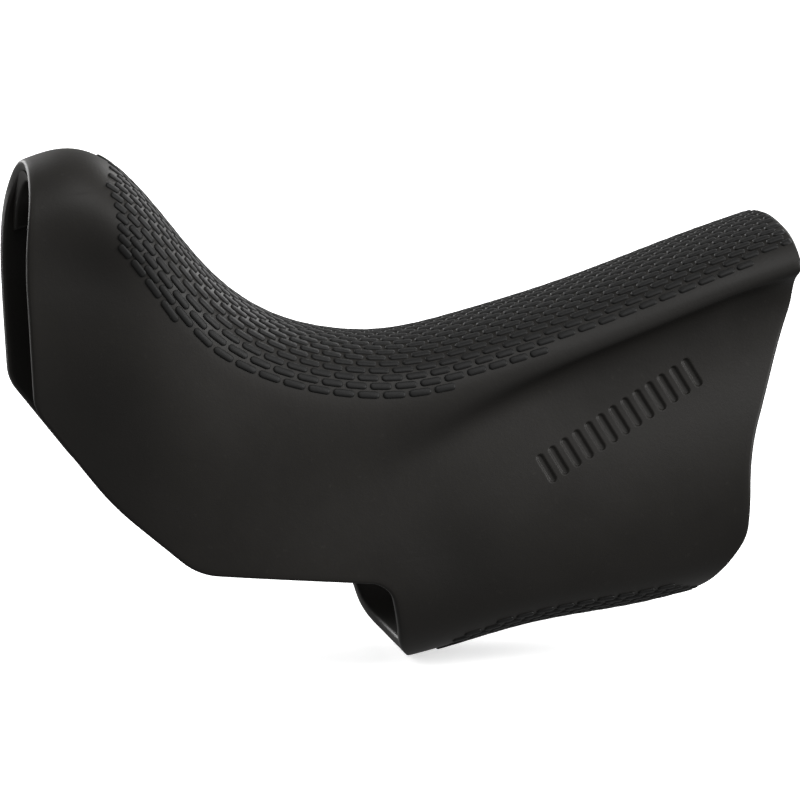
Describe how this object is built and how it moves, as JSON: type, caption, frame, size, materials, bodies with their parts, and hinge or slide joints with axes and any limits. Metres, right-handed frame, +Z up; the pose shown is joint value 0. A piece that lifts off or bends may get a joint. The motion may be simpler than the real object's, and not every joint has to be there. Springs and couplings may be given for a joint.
{
  "type": "brake lever hood",
  "caption": "Moulded rubber hood for a drop-bar brake and shift lever bracket, with a raised horn, an open belly, a closed sleeve and textured grip panels.",
  "frame": {"origin": "middle of the opening at the handlebar end, on the plane of symmetry", "axes": "+X from the horn towards the handlebar, +Z up out of the top grip, +Y to the hood's far side"},
  "size_m": [0.1126, 0.0366, 0.0757],
  "materials": {
    "hood_rubber": "satin moulded black rubber",
    "grip_rubber": "matte black rubber with raised pads"
  },
  "bodies": {
    "root": {"hood_skin": "hood_rubber", "top_grip_panel": "grip_rubber", "lower_grip_panel": "grip_rubber"}
  },
  "joints": []
}
